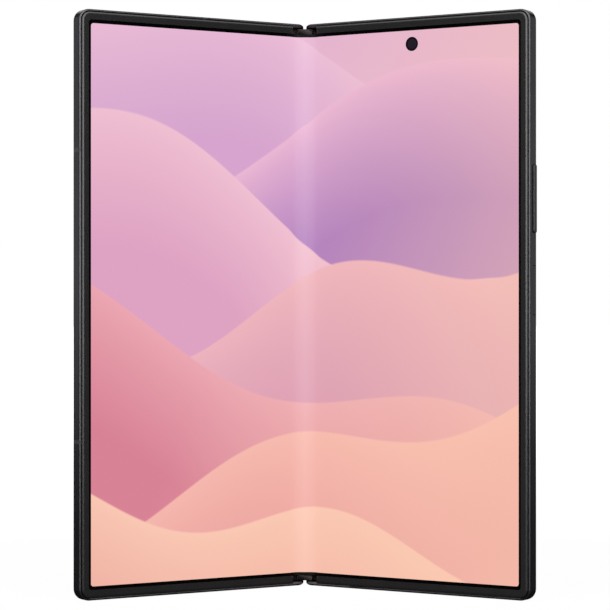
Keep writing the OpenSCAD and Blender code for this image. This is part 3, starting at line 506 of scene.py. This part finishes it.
def bend(bm, side):
    """Bends a flat right sheet to its rest shape, and mirrors it for the left half."""
    for point in bm.verts:
        point.co.x, point.co.y = folded(point.co.x, point.co.y)
    if side == "left":
        bmesh.ops.scale(bm, vec=(-1, 1, 1), verts=bm.verts)
        bmesh.ops.reverse_faces(bm, faces=bm.faces)


def across_fold(piece):
    """Bakes a sheet's placement into its mesh."""
    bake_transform(piece)


def drum(u, z, v0, v1, radius, steps=48):
    """A round cutter or disc across a half."""
    bm = bmesh.new()
    bmesh.ops.create_cone(bm, cap_ends=True, segments=steps, radius1=radius, radius2=radius, depth=v1 - v0)
    bmesh.ops.rotate(bm, cent=(0, 0, 0), matrix=Matrix.Rotation(math.pi / 2, 3, "X"), verts=bm.verts)
    bmesh.ops.translate(bm, vec=(u, (v0 + v1) / 2, z), verts=bm.verts)
    return bm


for side in ("left", "right"):
    way = 1 if side == "right" else -1
    inset = 2 * mm
    sheet = make(block((0, screen_v, inset), (half_w - inset, screen_v + screen_t, body_h - inset)),
                 side + "_screen", lit_screen)
    cutters = [block((-mm, 0, z - mm), (4.6 * mm, mm, z + mm)) for z in (border_end - mm, body_h - border_end + mm)]
    if side == "right":
        cutters.append(drum(camera_u, camera_z, 0, mm, punch_r, 64))
    carve(sheet, *cutters)
    bm = bmesh.new()
    bm.from_mesh(sheet.data)
    for i in range(1, 33):
        bmesh.ops.bisect_plane(bm, geom=bm.verts[:] + bm.edges[:] + bm.faces[:], dist=1e-7,
                               plane_co=(flex_u * i / 30, 0, 0), plane_no=(1, 0, 0))
    bm.normal_update()
    flat = bm.loops.layers.uv.new("flat")
    for face in bm.faces:
        face.material_index = 0 if face.normal.y < -0.5 else 1
        for loop in face.loops:
            loop[flat].uv = (way * loop.vert.co.x / half_w, loop.vert.co.z / body_h)
    bend(bm, side)
    bm.to_mesh(sheet.data)
    bm.free()
    sheet.data.materials.append(dark_backing)
    smooth(sheet.data, 40)
    across_fold(sheet)
    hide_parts("main_display_" + side, "main_display_fold")


# ---------------------------------------------------------------------------
# The inner camera: a small turned barrel behind the hole in the screen, black
# inside, with a flat dark window. It is glued to the frame's middle plate.
# ---------------------------------------------------------------------------
def lathe(profile, u, z, steps=64):
    """Turns a profile of (radius, depth) points about an axis across a half."""
    bm = bmesh.new()
    points = [bm.verts.new((u + r, v, z)) for r, v in profile]
    edges = [bm.edges.new(pair) for pair in zip(points, points[1:])]
    bmesh.ops.spin(bm, geom=points + edges, cent=(u, 0, z), axis=(0, 1, 0), angle=2 * math.pi,
                   steps=steps, use_merge=True, use_duplicate=False)
    bmesh.ops.remove_doubles(bm, verts=bm.verts[:], dist=1e-7)
    return bm


def gather(*parts):
    """Joins bmeshes into one."""
    whole = bmesh.new()
    for part in parts:
        mesh = bpy.data.meshes.new("part")
        part.to_mesh(mesh)
        part.free()
        whole.from_mesh(mesh)
        bpy.data.meshes.remove(mesh)
    return whole


lens_black = finish("lens_black", (0.002, 0.0015, 0.0022), (0.0035, 0.003, 0.004), 0.0, (0.25, 0.35),
                    0.4 * mm, 2 * mm, specular=0.12)
lens_window = finish("lens_window", (0.014, 0.01, 0.017), (0.019, 0.014, 0.023), 0.0, (0.04, 0.08),
                     0.5 * mm, 1.5 * mm, specular=0.4)
barrel = lathe([(0, 1.55 * mm), (1.93 * mm, 1.55 * mm), (1.93 * mm, 0.42 * mm), (1.86 * mm, 0.35 * mm),
                (1.5 * mm, 0.35 * mm), (1.46 * mm, 0.42 * mm), (1.46 * mm, 0.9 * mm), (0, 0.9 * mm)],
               camera_u, camera_z)
housing = block((camera_u - 3.2 * mm, 1.6 * mm, camera_z - 3.2 * mm),
                (camera_u + 3.2 * mm, 3.4 * mm, camera_z + 3.2 * mm), 1, 0.4 * mm, 0.1 * mm, 0.1 * mm)
settle(make(gather(barrel, housing), "inner_camera_barrel", lens_black, "right"),
       "right_half", "lens_glass", "inner_camera")
window = lathe([(0, 0.38 * mm), (0.8 * mm, 0.385 * mm), (1.42 * mm, 0.42 * mm), (1.46 * mm, 0.5 * mm),
                (1.46 * mm, 0.7 * mm), (0, 0.7 * mm)], camera_u, camera_z)
settle(make(window, "inner_camera_window", lens_window, "right"), "right_half", "lens_glass", "inner_camera")


# ---------------------------------------------------------------------------
# The cover glass and the back glass: chemically strengthened sheets, black
# from behind, with their edges ground round, glued in the frames. The left one
# lies over the outer screen, with openings for its camera and the earpiece.
# ---------------------------------------------------------------------------
black_glass = finish("black_glass", (0.006, 0.006, 0.0075), (0.009, 0.009, 0.011), 0.0, (0.03, 0.06),
                     22 * mm, 40 * mm, specular=0.5)
frosted_glass = finish("frosted_back_glass", (0.02, 0.02, 0.0225), (0.025, 0.025, 0.028), 0.0, (0.34, 0.4),
                       0.12 * mm, 30 * mm, relief=0.002 * mm, specular=0.5)
glass_v, back_rim, glass_u = body_t - 0.4 * mm, 0.94 * mm, 4.24 * mm
cover_cam_u, cover_cam_z = 39.75 * mm, body_h - 8.4 * mm
island_u, island_z, lens_pitch, island_top = half_w - 14.6 * mm, body_h - 36.4 * mm, 18 * mm, 6.4 * mm
flash_u, flash_z, flash_r = island_u - 6.8 * mm, island_z + lens_pitch / 2, 1.35 * mm
lens_heights = [island_z + i * lens_pitch for i in (-1, 0, 1)]
through = 10 * mm


def back_sheet(name, material):
    """One half's outer sheet, with its outer rim ground round."""
    return make(block((glass_u, glass_v, back_rim), (half_w - back_rim, body_t, body_h - back_rim), 1,
                      corner_r - back_rim, far=0.16 * mm, outer_only=True), name, material)


cover = back_sheet("cover_glass_sheet", black_glass)
ear_u, ear_z = half_w - 21.6 * mm, body_h - 1.8 * mm
carve(cover, drum(cover_cam_u, cover_cam_z, 0, through, 1.7 * mm),
      block((ear_u - 6 * mm, 2.8 * mm, ear_z - 0.35 * mm), (ear_u + 6 * mm, 5 * mm, ear_z + 0.35 * mm), 1, 0.349 * mm))
settle(soften(cover, 0.03 * mm, "left"), "left_half", "outer_glass", "cover_glass")
back = back_sheet("back_glass_sheet", frosted_glass)
carve(back, *[drum(island_u, z, 0, through, 4.6 * mm) for z in lens_heights],
      drum(flash_u, flash_z, 0, through, flash_r))
settle(soften(back, 0.03 * mm, "right"), "right_half", "outer_glass", "rear_cover")

cover_lens = lathe([(0, 3.4 * mm), (1.68 * mm, 3.4 * mm), (1.68 * mm, 4.02 * mm), (1.6 * mm, 4.1 * mm),
                    (1.2 * mm, 4.1 * mm), (1.0 * mm, 4.05 * mm), (0, 4.06 * mm)], cover_cam_u, cover_cam_z)
housing = block((cover_cam_u - 3.4 * mm, 1.6 * mm, cover_cam_z - 3.4 * mm),
                (cover_cam_u + 3.4 * mm, 3.5 * mm, cover_cam_z + 3.4 * mm), 1, 0.4 * mm, 0.1 * mm, 0.1 * mm)
settle(make(gather(cover_lens, housing), "cover_camera_lens", lens_window, "left"),
       "left_half", "lens_glass", "cover_camera")
mesh_black = finish("speaker_mesh", (0.008, 0.008, 0.008), (0.014, 0.014, 0.014), 0.0, (0.5, 0.7),
                    0.1 * mm, 0.3 * mm, relief=0.03 * mm)
recast("earpiece_mesh", mesh_black, "left_half", "module_black")
recast("cover_display", black_glass, "left_half", "screen")


# ---------------------------------------------------------------------------
# The rear camera island: a milled aluminium plateau with three lenses. Each
# lens has a turned ring, a flat sapphire window and a stepped black barrel.
# The island is glued to the back glass, which has a hole behind each lens.
# ---------------------------------------------------------------------------
island = make(block((island_u - 10 * mm, body_t, island_z - 30 * mm),
                    (island_u + 10 * mm, island_top, island_z + 30 * mm),
                    1, 9.99 * mm, far=0.8 * mm, steps=32, edge_steps=6), "island_plateau", anodised)
carve(island, *[drum(island_u, z, 0, through, 5 * mm, 96) for z in lens_heights],
      drum(flash_u, flash_z, 0, through, flash_r))
settle(soften(island, 0.12 * mm, "right"), "right_half", "island_metal", "camera_island")

ring_metal = finish("polished_ring", (0.1, 0.1, 0.11), (0.13, 0.13, 0.14), 1.0, (0.12, 0.2), 0.2 * mm, 3 * mm)
# The profiles are points of (radius, depth) in millimetres.
ring_profile = [(4.42, 4.3), (4.98, 4.3), (4.98, 6.4), (4.9, 6.48), (4.8, 6.5), (4.6, 6.5), (4.5, 6.46),
                (4.42, 6.3), (4.42, 4.3)]
barrel_profile = [(0, 3.6), (4.35, 3.6), (4.35, 5.6), (4.2, 5.65), (3.5, 5.65), (3.4, 5.5), (2.9, 5.5), (2.8, 5.3),
                  (2.4, 5.3), (2.3, 5.05), (1.95, 5.05), (1.9, 4.8), (0, 4.8)]
window_profile = [(0, 5.7), (4.38, 5.7), (4.38, 6.2), (4.3, 6.28), (4.2, 6.3), (0, 6.3)]
dome_profile = [(0, 4.82), (1.88, 4.82), (1.88, 4.9), (1.6, 5.02), (1.1, 5.14), (0.55, 5.2), (0, 5.22)]
window_glass = finish("lens_cover_glass", (0.9, 0.9, 0.92), (0.94, 0.94, 0.95), 0.0, (0.01, 0.02), 5 * mm, 8 * mm)
shader = window_glass.node_tree.nodes["Principled BSDF"]
shader.inputs["Transmission Weight"].default_value = 1.0
shader.inputs["IOR"].default_value = 1.2
coated_dome = finish("coated_lens", (0.01, 0.006, 0.02), (0.016, 0.012, 0.035), 0.3, (0.02, 0.05),
                     0.8 * mm, 2 * mm, specular=0.8)


def three_lenses(profile, name, material, slot_name, node):
    """The same turned form at each of the three lenses, as one piece."""
    parts = [lathe([(r * mm, v * mm) for r, v in profile], island_u, z) for z in lens_heights]
    settle(make(gather(*parts), name, material, "right"), "right_half", slot_name, node)


three_lenses(ring_profile, "lens_rings", ring_metal, "island_metal", "camera_lens_rings")
three_lenses(window_profile, "lens_windows", window_glass, "lens_glass", "camera_lens_glasses")
three_lenses(barrel_profile, "lens_barrels", lens_black, "module_black", "rear_camera_modules")
three_lenses(dome_profile, "lens_domes", coated_dome, "lens_glass", "rear_camera_modules")
boxes = [block((island_u - 5.5 * mm, 1.6 * mm, z - 5.5 * mm), (island_u + 5.5 * mm, 3.65 * mm, z + 5.5 * mm),
               1, 0.4 * mm, 0.1 * mm, 0.1 * mm) for z in lens_heights]
settle(make(gather(*boxes), "camera_boxes", lens_black, "right"), "right_half", "module_black", "rear_camera_modules")

flash_plastic = finish("flash_diffuser", (0.82, 0.78, 0.6), (0.9, 0.87, 0.72), 0.0, (0.25, 0.35),
                       0.3 * mm, 0.7 * mm, relief=0.05 * mm)
flash_profile = [(0, 3.85), (1.29, 3.85), (1.29, 6.25), (1.2, 6.33), (0.9, 6.34), (0.8, 6.28), (0.7, 6.34),
                 (0.5, 6.34), (0.4, 6.28), (0.3, 6.34), (0, 6.35)]
flash_form = lathe([(r * mm, v * mm) for r, v in flash_profile], flash_u, flash_z)
settle(make(flash_form, "flash_window", flash_plastic, "right"), "right_half", "flash", "flash_lens")


# ---------------------------------------------------------------------------
# The keys: milled and anodised bars in slots of the right side wall, held by a
# flange inside, before a bank of switches. The long volume key stands a little
# proud and rocks on a round bead at its middle; the power key is flush.
# ---------------------------------------------------------------------------
cav_u1, key_v, key_w = half_w - 1.3 * mm, 2.75 * mm, 1.7 * mm
volume_z, volume_len, volume_out = 98.5 * mm, 18.2 * mm, 0.35 * mm
power_z, power_len, power_in = 76.5 * mm, 13.2 * mm, 0.05 * mm


def key(name, z0, length, face, flange, body, node, *beads):
    """A key's cap and the flange behind it, with any bead, as one piece."""
    v0, v1, zm = key_v - key_w / 2, key_v + key_w / 2, z0 + length / 2
    cap = block((cav_u1 - 0.1 * mm, v0, z0), (face, v1, z0 + length), 0, 0.45 * mm, far=0.14 * mm)
    lip = block((cav_u1 - 0.35 * mm, v0 - 0.35 * mm, zm - flange), (cav_u1 - 0.1 * mm, v1, zm + flange), 0, 0.1 * mm)
    settle(make(gather(cap, lip, *beads), name, anodised, "right"), body, "island_metal", node)


rocker = drum(cav_u1 - 0.35 * mm, volume_z + volume_len / 2, key_v - 0.7 * mm, key_v + 0.7 * mm, 0.3 * mm, 24)
key("volume_bar", volume_z, volume_len, half_w + volume_out, 2.5 * mm, "volume_key_body", "volume_key", rocker)
key("power_bar", power_z, power_len, half_w - power_in, 4 * mm, "power_key_body", "power_key")


# ---------------------------------------------------------------------------
# The SIM tray: an anodised face with a plate and a pocket for the card, which
# slides out at the top. It sits in a soft seal and runs in a pressed reader.
# ---------------------------------------------------------------------------
recast("sim_tray", anodised, "sim_tray_body", "island_metal")
recast("sim_seal", soft_black, "left_half", "soft_bezel")


# ---------------------------------------------------------------------------
# The charging port: a drawn steel shell with a moulded tongue, which carries
# two rows of gold plated contacts. It fits in an opening of the bottom wall.
# ---------------------------------------------------------------------------
bright_steel = finish("bright_steel", (0.5, 0.5, 0.52), (0.6, 0.6, 0.62), 1.0, (0.2, 0.32), 0.3 * mm, 3 * mm)
moulded_black = finish("moulded_black", (0.012, 0.012, 0.013), (0.018, 0.018, 0.019), 0.0, (0.4, 0.6),
                       0.2 * mm, 2 * mm, relief=0.01 * mm)
gold = finish("gold_contact", (0.75, 0.55, 0.25), (0.85, 0.65, 0.32), 1.0, (0.2, 0.3), 0.2 * mm, 1 * mm)
recast("usb_shell", bright_steel, "right_half", "can_steel")
port_u, port_v, pad_pitch = half_w / 2 + 0.2 * mm, 2.2 * mm, 0.5 * mm
tongue = block((port_u - 3.35 * mm, port_v - 0.33 * mm, 1.2 * mm), (port_u + 3.35 * mm, port_v + 0.33 * mm, 6.6 * mm),
               2, 0.1 * mm, near=0.08 * mm)
settle(make(tongue, "port_tongue", moulded_black, "right"), "right_half", "module_black", "usb_tongue")
pads = [block((port_u + (i - 5.5) * pad_pitch - 0.13 * mm, port_v + way * 0.32 * mm - 0.02 * mm, 1.7 * mm),
              (port_u + (i - 5.5) * pad_pitch + 0.13 * mm, port_v + way * 0.32 * mm + 0.02 * mm, 5.6 * mm))
        for i in range(12) for way in (-1, 1)]
settle(make(gather(*pads), "port_contacts", gold, "right"), "right_half", "disc_bronze", "usb_tongue")


# ---------------------------------------------------------------------------
# The hinge cover and its end caps: the cover is a drawn and anodised trough
# along the spine, the caps are cast plugs that close it at the top and bottom.
# ---------------------------------------------------------------------------
cover_brown = finish("anodised_brown_grey", (0.075, 0.068, 0.066), (0.09, 0.082, 0.079), 1.0, (0.28, 0.38),
                     0.25 * mm, 9 * mm, relief=0.004 * mm)
# The caps are coloured darker than the cover: partly their own cast finish, partly painted shade for the shadow line
# under the hinge notch.
cap_dark_and_painted_shade = finish("cast_cap_with_painted_shade", (0.019, 0.0162, 0.0152), (0.025, 0.0212, 0.02), 0.6, (0.36, 0.5),
                   0.3 * mm, 1.5 * mm, relief=0.02 * mm, specular=0.3)
recast("spine_cover", cover_brown, "hinge", "cover_metal")
recast("spine_end_caps", cap_dark_and_painted_shade, "hinge", "cover_metal")


# ---------------------------------------------------------------------------
# The hinge: three ground steel brackets with four gears and two arms each, on
# shafts with bronze friction discs, and a rail along the middle. Screws with
# crossed slots hold the brackets to the cover and the arms to the frames.
# ---------------------------------------------------------------------------
ground_steel = finish("ground_steel", (0.42, 0.42, 0.43), (0.52, 0.52, 0.54), 1.0, (0.24, 0.4),
                      0.3 * mm, 4 * mm, (1, 1, 0.2), relief=0.003 * mm)
screw_steel = finish("screw_steel", (0.45, 0.44, 0.42), (0.55, 0.54, 0.52), 1.0, (0.25, 0.35), 0.2 * mm, 1 * mm)
bronze = finish("bronze_disc", (0.5, 0.36, 0.16), (0.6, 0.44, 0.22), 1.0, (0.3, 0.42), 0.2 * mm, 1 * mm)
for node in ("hinge_brackets", "center_rail"):
    recast(node, ground_steel, "hinge", "hinge_steel" if node == "hinge_brackets" else "plate_steel")
recast("bracket_screws", screw_steel, "hinge", "hinge_steel")
recast("friction_discs", bronze, "hinge", "disc_bronze")
for side in ("left", "right"):
    recast(side + "_idler_gears", ground_steel, side + "_idlers", "hinge_steel")
    recast(side + "_gear_shafts", ground_steel, side + "_half", "hinge_steel")
    recast(side + "_hinge_arms", ground_steel, side + "_half", "hinge_steel")
    recast(side + "_arm_screws", screw_steel, side + "_half", "hinge_steel")


# ---------------------------------------------------------------------------
# The plates behind the screen: a stiff steel plate in each half, and a wing
# beside the fold that tilts on a bead to make room for the closed screen.
# ---------------------------------------------------------------------------
plate_steel = finish("rolled_plate", (0.36, 0.36, 0.38), (0.44, 0.44, 0.46), 1.0, (0.3, 0.42),
                     0.4 * mm, 12 * mm, (1, 1, 0.15), relief=0.002 * mm)
for side in ("left", "right"):
    recast(side + "_display_plate", plate_steel, side + "_half", "plate_steel")
    recast(side + "_wing", plate_steel, side + "_wing_body", "plate_steel")


# ---------------------------------------------------------------------------
# The flat cables: two ribbons of copper tracks between amber films, which run
# from just inside one half to just inside the other, through slots in the
# frames and behind the shafts. Each side of a ribbon bends about its half's axis.
# ---------------------------------------------------------------------------
film = finish("amber_film", (0.42, 0.2, 0.05), (0.55, 0.3, 0.09), 0.0, (0.25, 0.4), 0.3 * mm, 3 * mm, (1, 1, 4))
track_copper = finish("track_copper", (0.56, 0.27, 0.1), (0.66, 0.34, 0.14), 1.0, (0.22, 0.34), 0.2 * mm, 2 * mm)
ribbon_heights, ribbon_w, film_t = (38 * mm, body_h - 53.4 * mm), 12 * mm, 0.12 * mm
track_w, tracks_each = 0.7 * mm, 8


def ribbon(strips, thickness, name, side, material):
    """Sheets along the cable's path at rest, one for each (height, width), thickened to both sides."""
    path = [Vector((0, 2.86 * mm + y_shift)), Vector((1.4 * mm, 2.81 * mm + y_shift))]
    path += [(swing_right @ Vector((u * mm, v * mm, 0))).to_2d() for u, v in ((5.2, 2.26), (7.5, 2.11), (10.5, 2.11))]
    for _ in range(3):  # each pass cuts the corners of the path
        corners = [a.lerp(b, share) for a, b in zip(path, path[1:]) for share in (0.25, 0.75)]
        path = [path[0], *corners, path[-1]]
    bm = bmesh.new()
    for z, width in strips:
        points = [bm.verts.new((place.x, place.y, z)) for place in path]
        edges = [bm.edges.new(pair) for pair in zip(points, points[1:])]
        grown = bmesh.ops.extrude_edge_only(bm, edges=edges)["geom"]
        bmesh.ops.translate(bm, vec=(0, 0, width), verts=[v for v in grown if isinstance(v, bmesh.types.BMVert)])
    if side == "left":
        bmesh.ops.scale(bm, vec=(-1, 1, 1), verts=bm.verts)
    piece = make(bm, name, material)
    thick = piece.modifiers.new("film", "SOLIDIFY")
    thick.thickness = thickness
    thick.offset = 0
    fix(piece)
    smooth(piece.data, 35)
    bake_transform(piece)
    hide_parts("hinge_flex")


for side in ("left", "right"):
    ribbon([(z, ribbon_w) for z in ribbon_heights], film_t, side + "_cable_film", side, film)
    tracks = [(z + (1.1 + 1.35 * i) * mm, track_w) for z in ribbon_heights for i in range(tracks_each)]
    ribbon(tracks, film_t + 0.02 * mm, side + "_cable_tracks", side, track_copper)


# ---------------------------------------------------------------------------
# Inside the halves: wrapped cells, green boards with drawn steel cans, sealed
# speakers, a motor, magnets, switches and a wound charging coil.
# ---------------------------------------------------------------------------
wrap = finish("cell_wrap", (0.02, 0.02, 0.024), (0.03, 0.03, 0.034), 0.2, (0.3, 0.5), 0.6 * mm, 8 * mm,
              relief=0.02 * mm)
board = finish("solder_mask", (0.008, 0.06, 0.022), (0.014, 0.09, 0.034), 0.0, (0.2, 0.36), 0.5 * mm, 2 * mm,
               (1, 1, 3), relief=0.02 * mm)
copper = finish("wound_copper", (0.5, 0.2, 0.08), (0.62, 0.28, 0.12), 1.0, (0.25, 0.4), 0.3 * mm, 2 * mm)
inside = {
    "left_half": {"left_battery": (wrap, "cell_wrap"), "left_sub_board": (board, "board_green"),
                  "earpiece_speaker": (moulded_black, "module_black"), "left_magnets": (bright_steel, "can_steel"),
                  "sim_reader": (bright_steel, "can_steel")},
    "right_half": {"right_battery": (wrap, "cell_wrap"), "main_board": (board, "board_green"),
                   "shield_cans": (bright_steel, "can_steel"),
                   "loudspeaker": (moulded_black, "module_black"), "haptic_motor": (bright_steel, "can_steel"),
                   "right_magnets": (bright_steel, "can_steel"), "key_switches": (moulded_black, "module_black")},
}
for body, nodes in inside.items():
    for node, (material, slot_name) in nodes.items():
        recast(node, material, body, slot_name)
coil_low, coil_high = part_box("charging_coil")
coil_u, coil_z, coil_r = 39 * mm, (coil_low.z + coil_high.z) / 2, (coil_high.z - coil_low.z) / 2
wire_pitch, coil_turns, coil_seat = 0.61 * mm, 18, 3.51 * mm
# The wire's rounded top, as shares of the pitch and depths in millimetres.
wire_top = ((0, 3.62), (0.1, 3.7), (0.35, 3.735), (0.65, 3.735), (0.9, 3.7))
turns = [(coil_r / 2 + wire_pitch * (i + part), depth * mm) for i in range(coil_turns) for part, depth in wire_top]
coil = lathe([(coil_r / 2, coil_seat), *turns, (coil_r - 0.01 * mm, coil_seat), (coil_r / 2, coil_seat)],
             coil_u, coil_z, 96)
settle(make(coil, "wound_coil", copper, "right"), "right_half", "coil_copper", "charging_coil")
